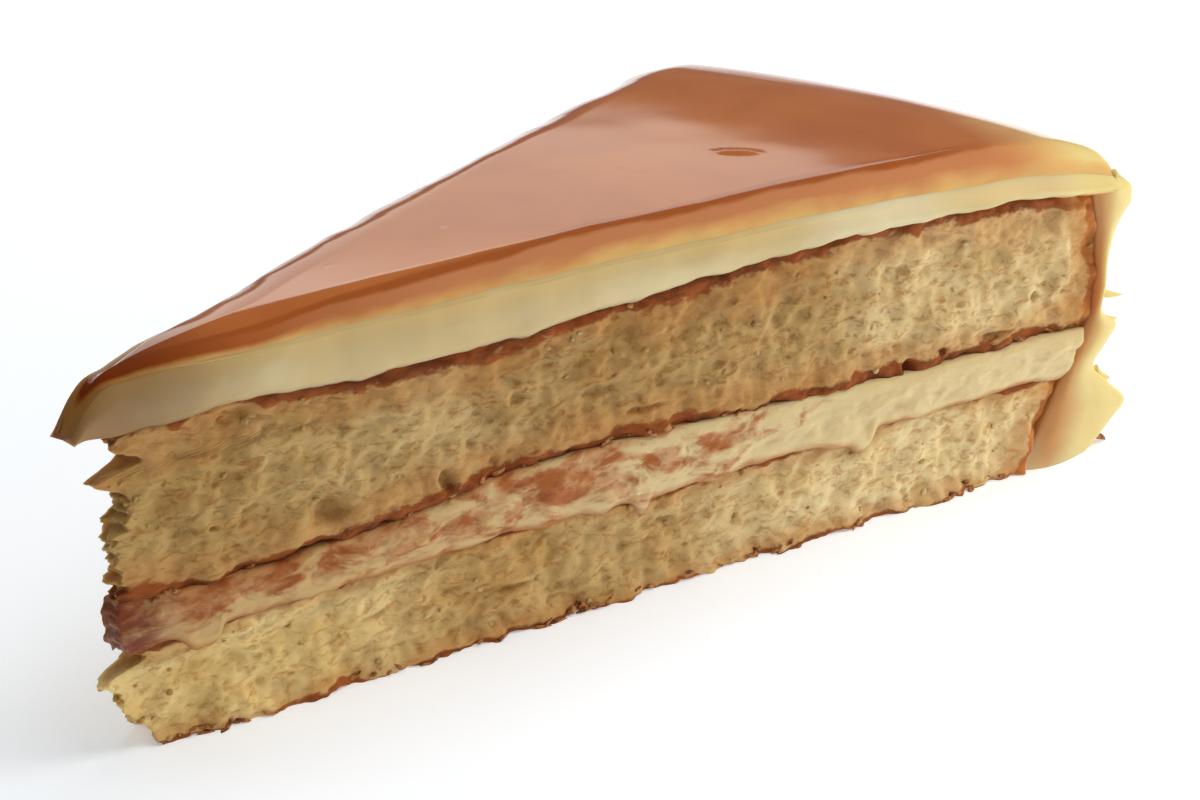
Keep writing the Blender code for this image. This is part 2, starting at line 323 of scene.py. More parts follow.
def box_grid(cells):
    """The skin of a box cut into cells: shares along, across and up for each vertex, and its quads."""
    shape = [count + 1 for count in cells]
    skin = np.ones(shape, bool)
    skin[1:-1, 1:-1, 1:-1] = False
    corners = np.argwhere(skin)
    index = np.full(shape, -1)
    index[tuple(corners.T)] = np.arange(len(corners))
    quads = []
    for axis in range(3):
        for end in (0, -1):
            side = index.take(end, axis=axis)
            faces = np.stack([side[:-1, :-1], side[1:, :-1], side[1:, 1:], side[:-1, 1:]], axis=-1)
            faces = faces.reshape(-1, 4)
            quads.append(faces[:, ::-1] if (end == 0) != (axis == 1) else faces)
    return (corners / np.array(cells)).T, np.concatenate(quads)


def add_object(name, data):
    """An object that holds the data, put in the scene."""
    made = bpy.data.objects.new(name, data)
    bpy.context.scene.collection.objects.link(made)
    return made


def add_piece(name, points, faces, fields, material, node=None):
    """A mesh piece with its fields, its material and its place in the frame."""
    mesh = bpy.data.meshes.new(name)
    mesh.from_pydata(points.tolist(), [], faces.tolist())
    mesh.shade_smooth()
    for key, values in fields.items():
        mesh.attributes.new(key, "FLOAT", "POINT").data.foreach_set("value", np.asarray(values, np.float32))
    mesh.materials.append(material)
    piece = add_object(name, mesh)
    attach(piece, BODY)
    if node:
        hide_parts(node)


def near_share(q):
    """The share of the cut's relief: less near the thin point."""
    return LEAST_RELIEF_SHARE + (1.0 - LEAST_RELIEF_SHARE) * np.clip(q / RELIEF_STARTS_Q, 0.0, 1.0)


def hollow_depth(q, z, hollows):
    """How deep the named hollows are at each place on the near cut."""
    depth = np.zeros(len(q))
    for middle, height, half_width, half_height, deep in hollows:
        reach = np.hypot((q / MM - middle) / half_width, (z / MM - height) / half_height)
        depth += deep * MM * smooth(1.3 - reach)
    return depth


def crumb_relief(points, q, s, z, seed, hollows):
    """How far the crumb of a cut stands out of it: crags, crumbs, pores and torn hollows."""
    relief = SPONGE_RELIEF * rough(points, SPONGE_GRAIN, seed)
    relief += CRUMB_DEPTH * rough(points / (CRUMB_STRETCH, 1.0, 1.0), CRUMB_GRAIN, seed + 40.0)
    relief += FINE_DEPTH * rough(points / (CRUMB_STRETCH, 1.0, 1.0), FINE_GRAIN, seed + 60.0, 2)
    relief -= PORE_DEPTH * pores(points, PORE_SPACING, seed + 80.0)
    relief -= np.where(s < 0.0, hollow_depth(q, z, hollows), 0.0)
    return relief


def rim_end(floor, ceiling, w):
    """Where a layer ends at the cake's side, against the icing."""
    z = curve(floor, RIM_LAYERS_Q) * (1.0 - w) + curve(ceiling, RIM_LAYERS_Q) * w
    return curve(SPONGE_SIDE, z)


def build_sponge(name, cells, floor, ceiling, tip, seed, hollows, material, node):
    """A sponge layer with crumbly cuts, a ragged point and, on the plate, a chipped bottom edge.

    Returns its points, its fields and which points lie on the near cut.
    """
    (u, v, w), quads = box_grid(cells)
    s = 2.0 * v - 1.0
    start = curve(tip, w)
    on_plate = floor is PLATE
    point_places = np.stack([np.zeros(len(w)), s * TIP_HALF_WIDTH, w * curve(ceiling, 0.0)], axis=1)
    start = start + POINT_RAG * rough(point_places, POINT_GRAIN, seed)
    end = rim_end(floor, ceiling, w)
    q = start + (end - start) * u
    high = curve(ceiling, q)
    low = curve(floor, q)
    on_cut = np.abs(s) > ON_CUT
    edge_places = wedge(q, s, 0.0)
    if on_plate:
        lift = BASE_LIFT * np.clip(rough(edge_places, BASE_LIFT_GRAIN, seed), 0.0, 1.0)
        low = np.where(on_cut, low + lift, low)
    z = low + (high - low) * w
    points = wedge(q, s, z)
    cut_points = points[on_cut]
    relief = np.zeros(len(points))
    relief[on_cut] = crumb_relief(cut_points, q[on_cut], s[on_cut], z[on_cut], seed, hollows)
    from_edge = np.minimum(high - z, EDGE_GROOVE_WIDTH if on_plate else z - low)
    relief -= EDGE_GROOVE * smooth(1.0 - from_edge / EDGE_GROOVE_WIDTH)
    if on_plate:
        relief[on_cut] += BASE_FLARE * smooth(1.0 - z[on_cut] / BASE_FLARE_HEIGHT)
    points += out_of_cut(s) * (relief * near_share(q))[:, None]
    points[:, 2] = np.maximum(points[:, 2], 0.0)
    fields = {
        "below_top": (high - z) / MM,
        "above_base": (z - low) / MM,
        "inside_rim": (end - q) / MM,
        "along": q / MM,
    }
    add_piece(name, points, quads, fields, material, node)
    return points, fields, on_cut & (s < 0.0)


def drip_length(q, s):
    """How far the filling hangs over the sponge below it on the cuts."""
    hang = HANG_MEAN + HANG_WAVE * rough(wedge(q, s, 0.0), HANG_GRAIN, FILLING_SEED + 3.0)
    for middle, half_width, length in FILLING_DRIPS:
        near = np.exp(-(((q / MM - middle) / half_width) ** 2))
        hang += np.where(s < 0.0, length * MM * near, 0.0)
    return np.maximum(hang, 0.0)


def build_filling(material):
    """The filling: soaked crumb and cream that bulge from the cuts, with a lip over the lower sponge."""
    (u, v, w), quads = box_grid(FILLING_CELLS)
    s = 2.0 * v - 1.0
    start = curve(FILLING_TIP, w)
    point_places = np.stack([0.0 * w, s * TIP_HALF_WIDTH, w * FILLING_HEIGHT], axis=1)
    start = start + FILLING_RAG * rough(point_places, FILLING_RAG_GRAIN, 2.0)
    q = start + (rim_end(FILLING_FLOOR, FILLING_CEILING, w) - start) * u
    on_cut = np.abs(s) > ON_CUT
    low = curve(FILLING_FLOOR, q)
    high = curve(FILLING_CEILING, q)
    hang = np.where(on_cut, drip_length(q, s), 0.0)
    z = low - hang + (high - low + hang) * w
    points = wedge(q, s, z)
    stretched = points / (CRUMB_STRETCH, 1.0, 1.0)
    lumps = FILLING_LUMPS * rough(stretched, FILLING_LUMP_GRAIN, FILLING_SEED)
    lumps += FILLING_FLECKS * rough(stretched, FILLING_FLECK_GRAIN, FILLING_SEED + 20.0)
    at_lip = smooth(1.0 - np.abs(w - HANG_LIP_HEIGHT) / HANG_LIP_HALF)
    lip = HANG_LIP * smooth(hang / HANG_LIP_FULL) * at_lip
    bulge = FILLING_BULGE * np.sin(math.pi * w) ** 0.6 + FILLING_OVERLAP
    out = bulge + lumps * np.sin(math.pi * np.clip(w, LUMP_EDGE, 1.0 - LUMP_EDGE)) + lip
    out = np.where(on_cut, out, 0.0)
    points += out_of_cut(s) * (out * near_share(q))[:, None]
    fields = {"height": w, "along": q / MM}
    add_piece("filling", points, quads, fields, material, "cream_filling")


def across_slice(near, far, s):
    """Values at s between those on the near cut and those on the far cut."""
    return near + (far - near) * (s + 1.0) / 2.0


def edge_share(q, s):
    """One at a cut's edge, falling to none where the rounded shoulder ends."""
    depth = np.maximum(q, 0.0) * np.sin((1.0 - np.abs(s)) * HALF_ANGLE)
    return np.maximum(0.0, 1.0 - depth / across_slice(NEAR_SHOULDER_WIDTH, FAR_SHOULDER_WIDTH, s))


def glaze_top(q, s):
    """Heights of the slice's top: nearly flat, rounded down at the rim and near each cut."""
    flat = across_slice(curve(GLAZE_TOP_NEAR, q), curve(GLAZE_TOP_FAR, q), s)
    drop = across_slice(curve(NEAR_DROP, q), curve(FAR_DROP, q), s)
    return flat - drop * edge_share(q, s) ** 2


def glaze_thickness(q, s):
    """Full thickness inside, thin where the knife or the rim has drawn the glaze out."""
    return GLAZE_EDGE_THICKNESS + (GLAZE_THICKNESS - GLAZE_EDGE_THICKNESS) * (1.0 - edge_share(q, s))


def cream_top(q, s):
    """Heights of the icing's top, a gap below the glaze."""
    return glaze_top(q, s) - glaze_thickness(q, s) - GAP


def icing_outside(u, s):
    """Distances and heights of the icing's outer face: over the top, then down the side."""
    top_q = ICING_TIP + (RIM_CORNER_Q - ICING_TIP) * u / RIM_SHARE
    corner = cream_top(np.full(len(u), RIM_CORNER_Q), s)
    down = (u - RIM_SHARE) / (1.0 - RIM_SHARE)
    side_z = corner * (1.0 - np.clip(down, 0.0, 1.0))
    places = np.stack([np.zeros(len(u)), s * RIM_HALF_LENGTH, side_z], axis=1)
    wander = RIM_WANDER * rough(places, RIM_GRAIN, WANDER_SEED) * (1.0 - s * s)
    ridges = curve(ICING_SIDE, side_z + wander) - ICING_SIDE_MEAN
    depth = RIDGE_DEPTH_INSIDE + (1.0 - RIDGE_DEPTH_INSIDE) * s * s
    fine = RIM_RELIEF * rough(places, RIM_GRAIN, RIM_SEED)
    side_q = ICING_SIDE_MEAN + ridges * depth + fine
    on_top = u <= RIM_SHARE
    return np.where(on_top, top_q, side_q), np.where(on_top, cream_top(top_q, s), side_z)


def icing_inside(u):
    """Distances and heights of the icing's inner face, a gap away from the sponge."""
    edge = curve(SPONGE_SIDE, curve(SPONGE_TOP, RIM_LAYERS_Q)) + HALF_GAP
    top_q = ICING_UNDERSIDE_TIP + (edge - ICING_UNDERSIDE_TIP) * u / RIM_SHARE
    down = np.clip((u - RIM_SHARE) / (1.0 - RIM_SHARE), 0.0, 1.0)
    side_z = (curve(SPONGE_TOP, edge) + HALF_GAP) * (1.0 - down)
    on_top = u <= RIM_SHARE
    rise = LIP_RISE * np.maximum(0.0, LIP_STARTS_Q - top_q) / (LIP_STARTS_Q - ICING_UNDERSIDE_TIP)
    q = np.where(on_top, top_q, curve(SPONGE_SIDE, side_z) + HALF_GAP)
    return q, np.where(on_top, curve(SPONGE_TOP, top_q) + HALF_GAP + rise, side_z)


def build_icing(material):
    """The cream icing: thick on top, thin down the side, with a soft lip over the sponge's crust."""
    (u, v, w), quads = box_grid(ICING_CELLS)
    s = np.sin((2.0 * v - 1.0) * math.pi / 2.0)
    inner_q, inner_z = icing_inside(u)
    outer_q, outer_z = icing_outside(u, s)
    on_cut = np.abs(s) > ON_CUT
    lip = LIP_MEAN + LIP_WAVE * rough(wedge(inner_q, s, 0.0), LIP_GRAIN, 61.0)
    q = inner_q + (outer_q - inner_q) * w
    lip = np.where(on_cut & (u < RIM_SHARE), np.clip(lip, 0.0, LIP_MOST), 0.0) * smooth(q / LIP_FULL_Q)
    z = inner_z - lip * (1.0 - w) + (outer_z - inner_z) * w
    points = wedge(q, s, z)
    wave = CREAM_RELIEF * rough(wedge(q, s, 0.0), CREAM_GRAIN, CREAM_SEED)
    small = CREAM_SMALL * rough(points, CREAM_SMALL_GRAIN, 31.0) * np.sin(math.pi * w)
    foot = smooth(FOOT_SHARE + w / FOOT_DEPTH)
    proud = ICING_PROUD * foot + ICING_BULGE * np.sin(math.pi * w) + wave * foot + small
    points += out_of_cut(s) * (proud * np.abs(s))[:, None]
    points[:, 2] = np.maximum(points[:, 2], 0.0)
    fields = {"depth": w, "along": q / MM, "across": s}
    add_piece("icing", points, quads, fields, material, "cream_icing")


def blisters(points):
    """Small marks on the glaze: low rings and pimples where bubbles rose."""
    raised = np.zeros(len(points))
    for x, y, turn, half_length, half_width, height in BLISTERS:
        dx = points[:, 0] / MM - x
        dy = points[:, 1] / MM - y
        along = (dx * math.cos(turn) + dy * math.sin(turn)) / half_length
        over = (dy * math.cos(turn) - dx * math.sin(turn)) / half_width
        raised += height * MM * smooth(1.4 - np.hypot(along, over))
    return raised


def build_glaze(material):
    """The glaze: a thin sheet over the icing, drawn out over the shoulders and the rim."""
    (u, v, w), quads = box_grid(GLAZE_CELLS)
    t = 2.0 * v - 1.0
    s = 0.5 * t + 0.5 * np.sin(t * math.pi / 2.0)
    q = GLAZE_TIP + (GLAZE_RIM_Q - GLAZE_TIP) * u
    flat = wedge(q, s, 0.0)
    wave = CREAM_RELIEF * rough(flat, CREAM_GRAIN, CREAM_SEED)
    ripple = GLAZE_RIPPLE * rough(flat, GLAZE_RIPPLE_GRAIN, 45.0, 2)
    inset = np.maximum(q, 0.0) * np.sin((1.0 - np.abs(s)) * HALF_ANGLE)
    edge_round = EDGE_ROUND * smooth(1.0 - inset / EDGE_ROUND_WIDTH) * w * w
    underside = glaze_thickness(q, s) + GAP + GLAZE_DIP
    far_edge = smooth(1.0 - inset / FAR_WAVE_WIDTH) * smooth(s * 4.0) * smooth(q / FAR_WAVE_FROM)
    top = glaze_top(q, s) + FAR_WAVE * rough(flat, FAR_WAVE_GRAIN, 77.0, 2) * far_edge
    z = top + (ripple + blisters(flat)) * w - underside * (1.0 - w) - edge_round
    tuck = TUCK_BELOW * (1.0 - w) + TUCK_ABOVE * w**3
    band_share = POINT_BAND_SHARE + (1.0 - POINT_BAND_SHARE) * smooth(q / BAND_WIDENS_Q)
    proud = (ICING_PROUD + wave - tuck) * np.abs(s)
    points = wedge(q, s, z) + out_of_cut(s) * proud[:, None]
    fields = {
        "inset": inset / (across_slice(1.0, FAR_BAND_SHARE, s) * band_share) / MM,
        "inside_rim": (GLAZE_RIM_Q - q) / MM + BROWN_RIM_SHIFT * smooth((s + 1.0) / 1.3),
        "along": q / MM,
        "from_edge": np.minimum(inset, GLAZE_RIM_Q - q) / MM,
    }
    add_piece("glaze", points, quads, fields, material, "honey_glaze")


def ball():
    """The corners and faces of a small ball, to be pressed into crumbs."""
    made = bmesh.new()
    bmesh.ops.create_icosphere(made, subdivisions=2, radius=1.0)
    points = np.array([vertex.co for vertex in made.verts])
    faces = np.array([[vertex.index for vertex in face.verts] for face in made.faces])
    made.free()
    return points, faces


def add_lumps(name, places, radii, shape, material, seed):
    """Irregular lumps at the places, joined as one piece. The shape stretches each along x, y and z."""
    dice = np.random.default_rng(seed)
    corners, corner_faces = ball()
    all_points, all_faces = [], []
    for place, radius in zip(places, radii):
        turn = np.array(Euler(dice.uniform(-CRUMB_TURN, CRUMB_TURN, 3)).to_matrix())
        spin = np.array(Euler(dice.uniform(0.0, math.tau, 3)).to_matrix())
        swell = 1.0 + CRUMB_SWELL * rough(corners + dice.uniform(0.0, 50.0, 3), CRUMB_SWELL_GRAIN, 0.0)
        lump = (corners @ spin * swell[:, None]) * dice.uniform(*CRUMB_SPREAD, 3) * shape @ turn
        all_faces.append(corner_faces + len(corners) * len(all_points))
        all_points.append(place + lump * radius * MM)
    points = np.concatenate(all_points)
    points[:, 2] = np.maximum(points[:, 2], 0.0)
    far = np.full(len(points), FAR_FROM_CRUST)
    fields = {"below_top": far, "above_base": far, "inside_rim": far}
    fields["along"] = (points[:, 0] - CENTRE_X) / MM
    add_piece(name, points, np.concatenate(all_faces), fields, material)


def scatter(points, allowed, count, dice):
    """A chosen number of places among the allowed points."""
    return points[dice.choice(np.flatnonzero(allowed), count, replace=False)]


def add_crumbs(upper, lower, crumb, crust):
    """Loose crumbs on the near cut and at the point, chips along the base and the upper sponge's crust."""
    dice = np.random.default_rng(17)
    upper_points, upper_fields, upper_near = upper
    lower_points, lower_fields, lower_near = lower
    at_point = [fields["along"] < POINT_CRUMBS_END for fields in (upper_fields, lower_fields)]
    places = np.concatenate([
        scatter(upper_points, upper_near, LOOSE_CRUMBS // 2, dice),
        scatter(lower_points, lower_near, LOOSE_CRUMBS // 2, dice),
        scatter(upper_points, at_point[0], POINT_CRUMBS // 2, dice),
        scatter(lower_points, at_point[1], POINT_CRUMBS // 2, dice),
    ])
    radii = dice.uniform(*CRUMB_RADII, len(places))
    add_lumps("loose_crumbs", places, radii, CRUMB_SHAPE, crumb, 29)
    base_edge = lower_near & (lower_fields["above_base"] < BASE_CHIP_HEIGHT)
    base_edge &= lower_fields["along"] > BASE_CHIPS_START
    line_edge = upper_near & (upper_fields["above_base"] < LINE_CHIP_HEIGHT)
    line_edge &= upper_fields["along"] > LINE_CHIPS_START
    base_chips = scatter(lower_points, base_edge, BASE_CHIPS, dice)
    chips = np.concatenate([base_chips, scatter(upper_points, line_edge, LINE_CHIPS, dice)])
    flake = wedge(*np.array(FLAKE).reshape(3, 1))
    radii = np.append(dice.uniform(*CHIP_RADII, len(chips)), FLAKE_RADIUS)
    add_lumps("crust_chips", np.concatenate([chips, flake]), radii, CHIP_SHAPE, crust, 31)


def add_peaks(material):
    """Small peaks of cream drawn out at the rim's near corner."""
    turns = np.arange(PEAK_SIDES) * math.tau / PEAK_SIDES
    all_points, all_faces = [], []
    for foot_q, foot_z, tip_q, tip_z, radius in PEAKS:
        ends_q = np.array([foot_q, tip_q]) * MM
        foot, tip = wedge(ends_q, np.array(PEAK_ENDS), np.array([foot_z, tip_z]) * MM)
        line = (tip - foot) / np.linalg.norm(tip - foot)
        side = np.cross(line, (0.0, 0.0, 1.0))
        start = len(all_points) * (PEAK_SIDES * PEAK_RINGS + 2)
        rings = []
        for i in range(PEAK_RINGS):
            t = i / PEAK_RINGS
            size = radius * MM * (1.0 - t) ** 0.8
            middle = foot + (tip - foot) * t - (0.0, 0.0, PEAK_SAG * MM * math.sin(math.pi * t))
            around = np.outer(np.cos(turns), side) + np.outer(np.sin(turns), np.cross(side, line))
            swell = 1.0 + PEAK_ROUGH * rough(around + t, 0.8, foot_z)
            rings.append(middle + around * size * swell[:, None])
        all_points.append(np.concatenate([*rings, [foot], [tip]]))
        last = PEAK_SIDES * (PEAK_RINGS - 1)
        for j in range(PEAK_SIDES):
            k = (j + 1) % PEAK_SIDES
            for low in range(start, start + last, PEAK_SIDES):
                high = low + PEAK_SIDES
                all_faces.append([low + j, low + k, high + k])
                all_faces.append([low + j, high + k, high + j])
            all_faces.append([start + k, start + j, start + last + PEAK_SIDES])
            all_faces.append([start + last + j, start + last + k, start + last + PEAK_SIDES + 1])
    points = np.concatenate(all_points)
    fields = {
        "depth": np.full(len(points), 0.5),
        "along": (points[:, 0] - CENTRE_X) / MM,
        "across": np.full(len(points), -1.0),
    }
    add_piece("cream_peaks", points, np.array(all_faces), fields, material)


def linear(red, green, blue):
    """A colour given as screen values from 0 to 255, as the linear colour that shaders use."""
    channels = []
    for value in (red, green, blue):
        c = value / 255.0
        channels.append(c / 12.92 if c <= 0.04045 else ((c + 0.055) / 1.055) ** 2.4)
    return (*channels, 1.0)


def new_material(name):
    """An empty material, its node tree and its Principled shader."""
    material = bpy.data.materials.new(name)
    material.use_nodes = True
    return material, material.node_tree, material.node_tree.nodes["Principled BSDF"]


def add_node(tree, kind, inputs=None, **settings):
    """A node with its settings, its inputs linked to sockets or set to values."""
    made = tree.nodes.new(kind)
    for key, value in settings.items():
        setattr(made, key, value)
    for key, value in (inputs or {}).items():
        if isinstance(value, bpy.types.NodeSocket):
            tree.links.new(value, made.inputs[key])
        else:
            made.inputs[key].default_value = value
    return made


def place_of(tree, stretch=(1.0, 1.0, 1.0), shift=(0.0, 0.0, 0.0)):
    """Object coordinates, scaled along each axis and shifted."""
    place = add_node(tree, "ShaderNodeTexCoord").outputs["Object"]
    inputs = {"Vector": place, "Scale": stretch, "Location": shift}
    return add_node(tree, "ShaderNodeMapping", inputs).outputs["Vector"]


def grain_of(tree, place, grain, detail=3.0, harshness=0.5, distortion=0.0):
    """Noise from 0 to 1 that varies over the given grain size."""
    inputs = {"Vector": place, "Scale": 1.0 / grain, "Detail": detail}
    inputs.update({"Roughness": harshness, "Distortion": distortion})
    return add_node(tree, "ShaderNodeTexNoise", inputs).outputs["Fac"]


def cells_of(tree, place, spacing):
    """Distance from the nearest of many scattered points, in spacings."""
    inputs = {"Vector": place, "Scale": 1.0 / spacing}
    return add_node(tree, "ShaderNodeTexVoronoi", inputs).outputs["Distance"]


def field(tree, name):
    """A number kept on the mesh."""
    return add_node(tree, "ShaderNodeAttribute", attribute_name=name).outputs["Fac"]


def calc(tree, operation, first, second=0.0):
    """The result of one sum."""
    return add_node(tree, "ShaderNodeMath", {0: first, 1: second}, operation=operation).outputs["Value"]


def step(tree, value, start, end):
    """A soft step of value: 0 at start and 1 at end."""
    inputs = {"Value": value, "From Min": start, "From Max": end}
    return add_node(tree, "ShaderNodeMapRange", inputs, interpolation_type="SMOOTHSTEP").outputs["Result"]


def blend_colour(tree, share, first, second, blend_type="MIX"):
    """first where share is 0, second where it is 1."""
    inputs = {0: share, 6: first, 7: second}
    return add_node(tree, "ShaderNodeMix", inputs, data_type="RGBA", blend_type=blend_type).outputs[2]


def blend_number(tree, share, first, second):
    """first where share is 0, second where it is 1."""
    inputs = {"Value": share, "To Min": first, "To Max": second}
    return add_node(tree, "ShaderNodeMapRange", inputs).outputs["Result"]


def lay(tree, colour, other, share, most=1.0, blend_type="MIX"):
    """The other colour laid over colour by share, at its full share no more than most."""
    if most < 1.0:
        share = calc(tree, "MULTIPLY", share, most)
    return blend_colour(tree, share, colour, other, blend_type)


def plus(tree, number, other, share):
    """The number with a share of the other added."""
    return calc(tree, "ADD", number, calc(tree, "MULTIPLY", other, share))


def between(tree, value, stretch):
    """One where value is inside the stretch's two middle numbers, falling to none at its outer two."""
    begins, full, ebbs, ends = stretch
    return calc(tree, "MULTIPLY", step(tree, value, begins, full), step(tree, value, ends, ebbs))


def surface(tree, shader, colour, heights, distance, strength):
    """The shader's colour, and its bumps from heights given as shares of the distance."""
    inputs = {"Height": heights, "Distance": distance, "Strength": strength}
    bumped = add_node(tree, "ShaderNodeBump", inputs).outputs["Normal"]
    tree.links.new(colour, shader.inputs["Base Color"])
    tree.links.new(bumped, shader.inputs["Normal"])


def soften(shader, weight, radius, scale):
    """Light that sinks in and comes out again nearby."""
    shader.inputs["Subsurface Weight"].default_value = weight
    shader.inputs["Subsurface Radius"].default_value = radius
    shader.inputs["Subsurface Scale"].default_value = scale


# Colours. A crumb's three run from pale to dark, a crust's from dark to the stain beside it.
UPPER_CRUMB = (linear(224, 198, 144), linear(206, 172, 114), linear(172, 122, 66))
# The lower sponge is lighter than the upper one: partly painted light, for the light that the floor throws
# up.
LOWER_CRUMB = (linear(238, 215, 162), linear(226, 196, 136), linear(192, 142, 80))
# Painted shade, multiplied into each sponge's crumb towards the point; darker on the upper sponge.
UPPER_POINT_SHADE = linear(222, 208, 182)
LOWER_POINT_SHADE = linear(255, 248, 226)
# Painted shade, multiplied into a middle stretch of each sponge.
MIDDLE_SHADE = linear(222, 206, 184)
CRUST_DARK = linear(104, 42, 14)
CRUST_MIDDLE = linear(154, 76, 30)
CRUST_STAIN = linear(198, 140, 80)
CRUST_TONES = (CRUST_DARK, CRUST_MIDDLE, CRUST_STAIN)
RIM_STAIN = linear(206, 142, 76)
RIM_TONES = (linear(172, 92, 44), linear(196, 122, 60), RIM_STAIN)
SOAKED = linear(180, 108, 54)
SOAKED_PALE = linear(214, 168, 120)
FILLING_CREAM = linear(226, 202, 148)
# Painted shade, multiplied into the filling towards the point.
FILLING_POINT_SHADE = linear(236, 218, 194)
# Dark flecks at the filling's point: partly a syrup stain, partly painted shade.
POINT_STAIN_AND_SHADE = linear(122, 52, 10)
CREAM = linear(222, 203, 154)
# Painted highlight: paler cream laid over a stretch of the icing.
CREAM_HIGHLIGHT = linear(234, 224, 190)
CREAM_DEEP = linear(210, 186, 132)
# Painted highlight: a paler, pinker lip along the icing's lower edge.
CREAM_LIP_HIGHLIGHT = linear(226, 198, 166)
CREAM_SIDE = linear(228, 206, 134)
CREAM_TINTED = linear(226, 186, 116)
# Painted shade, multiplied into the cream and the glaze towards the point.
CREAM_POINT_SHADE = linear(176, 150, 124)
GLAZE_DEEP = linear(184, 100, 44)
GLAZE_MIDDLE = linear(196, 112, 48)
# Painted shade: darker glaze towards the point and in a stripe along the shoulder.
GLAZE_SHADE = linear(168, 84, 26)
GLAZE_LIGHT = linear(202, 130, 82)
GLAZE_THIN = linear(224, 172, 104)

# The crusts: thickness in millimetres and the share of their length that is dark, then grains in metres,
# and rag, fade and halo as shares of the thickness.
UPPER_TOP_CRUST = (2.1, 0.44)
UPPER_BASE_CRUST = (1.6, 0.50)
LOWER_TOP_CRUST = (0.9, 0.42)
LOWER_BASE_CRUST = (0.8, 0.34)
RIM_CRUST = (1.6, 0.50)
CRUST_PATCH_GRAIN = 0.0080
CRUST_RAG_GRAIN = 0.0022
CRUST_RAG = 2.4
CRUST_FADE = 0.35
HALO_EDGES = (1.2, -0.4)
HALO_SHARE = 0.5
LINE_SHARE = 0.92
CRUST_TONE_EDGES = (0.36, 0.62)

# The crumb: grains in metres, then the noise values between which each tone comes in.
CRUMB_PLACE_STRETCH = (0.42, 1.0, 1.0)
CRUMB_PATCH_GRAIN = 0.0045
CRUMB_FLECK_GRAIN = 0.0009
CRUMB_PIT_SPACING = 0.0015
CRUMB_PALE_EDGES = (0.32, 0.60)
CRUMB_SHADE_EDGES = (0.53, 0.33)
CRUMB_SHADE_SHARE = 0.75
# Pits are painted shade in the crumb's hollows.
PIT_EDGES = (0.24, 0.06)
PITTED_EDGES = (0.56, 0.44)
PIT_SHARE = 0.8
PIT_SINKS = 0.4
CRUMB_BUMP = 0.0004
# In millimetres along the slice: where the painted shade towards the point begins and is full, and where each
# sponge gets its middle stretch of painted shade.
POINT_SHADE_EDGES = (70.0, 5.0)
UPPER_SHADED = (34.0, 56.0, 84.0, 97.0)
LOWER_SHADED = (26.0, 42.0, 60.0, 88.0)


def crust(tree, colour, place, distance, size, tones):
    """A crust line laid over colour: ragged, uneven in thickness, broken, with a softer stain beside it."""
    thickness, coverage = size
    dark, middle, stain = tones
    wide = grain_of(tree, place, CRUST_PATCH_GRAIN, 2.0, 0.5)
    ragged = grain_of(tree, place, CRUST_RAG_GRAIN, 4.0, 0.6, 0.4)
    uneven = step(tree, wide, 0.66 - coverage, 1.0 - coverage)
    shift = calc(tree, "MULTIPLY", calc(tree, "SUBTRACT", ragged, 0.5), CRUST_RAG * thickness)
    moved = calc(tree, "SUBTRACT", distance, shift)
    edge = calc(tree, "MULTIPLY", uneven, thickness)
    line = step(tree, calc(tree, "SUBTRACT", moved, edge), 0.0, -CRUST_FADE * thickness)
    beyond = calc(tree, "SUBTRACT", moved, calc(tree, "MULTIPLY", edge, 2.0))
    halo = step(tree, beyond, HALO_EDGES[0] * thickness, HALO_EDGES[1] * thickness)
    colour = lay(tree, colour, stain, halo, HALO_SHARE)
    tone = blend_colour(tree, step(tree, ragged, *CRUST_TONE_EDGES), dark, middle)
    return lay(tree, colour, tone, line, LINE_SHARE)


def make_crumb(name, crumb, point_shade, shaded, top_crust, base_crust, seed_shift):
    """Sponge crumb: patches of two tones, dark flecks, pits darkened with painted shade, painted shade
    towards the point and over a middle stretch, and the crusts at its edges.
    """
    pale, middle, shade = crumb
    material, tree, shader = new_material(name)
    place = place_of(tree, CRUMB_PLACE_STRETCH, (seed_shift, 0.0, 0.0))
    patches = grain_of(tree, place, CRUMB_PATCH_GRAIN, 4.0, 0.6, 0.4)
    flecks = grain_of(tree, place, CRUMB_FLECK_GRAIN, 5.0, 0.7, 0.6)
    along = field(tree, "along")
    colour = blend_colour(tree, step(tree, patches, *CRUMB_PALE_EDGES), middle, pale)
    colour = lay(tree, colour, shade, step(tree, flecks, *CRUMB_SHADE_EDGES), CRUMB_SHADE_SHARE)
    # Pits: dark spots painted into the crumb's hollows as shade; the bump sinks them too.
    pits = step(tree, cells_of(tree, place, CRUMB_PIT_SPACING), *PIT_EDGES)
    pits = calc(tree, "MULTIPLY", pits, step(tree, patches, *PITTED_EDGES))
    colour = lay(tree, colour, shade, pits, PIT_SHARE)
    # Painted shade: the crumb darkens towards the point.
    colour = lay(tree, colour, point_shade, step(tree, along, *POINT_SHADE_EDGES), blend_type="MULTIPLY")
    # Painted shade over a middle stretch of the sponge.
    colour = lay(tree, colour, MIDDLE_SHADE, between(tree, along, shaded), blend_type="MULTIPLY")
    colour = crust(tree, colour, place, field(tree, "below_top"), top_crust, CRUST_TONES)
    colour = crust(tree, colour, place, field(tree, "above_base"), base_crust, CRUST_TONES)
    colour = crust(tree, colour, place, field(tree, "inside_rim"), RIM_CRUST, RIM_TONES)
    surface(tree, shader, colour, plus(tree, flecks, pits, -PIT_SINKS), CRUMB_BUMP, 0.6)
    shader.inputs["Roughness"].default_value = 0.85
    shader.inputs["Specular IOR Level"].default_value = 0.25
    soften(shader, 0.45, (1.0, 0.65, 0.35), 0.0018)
    return material


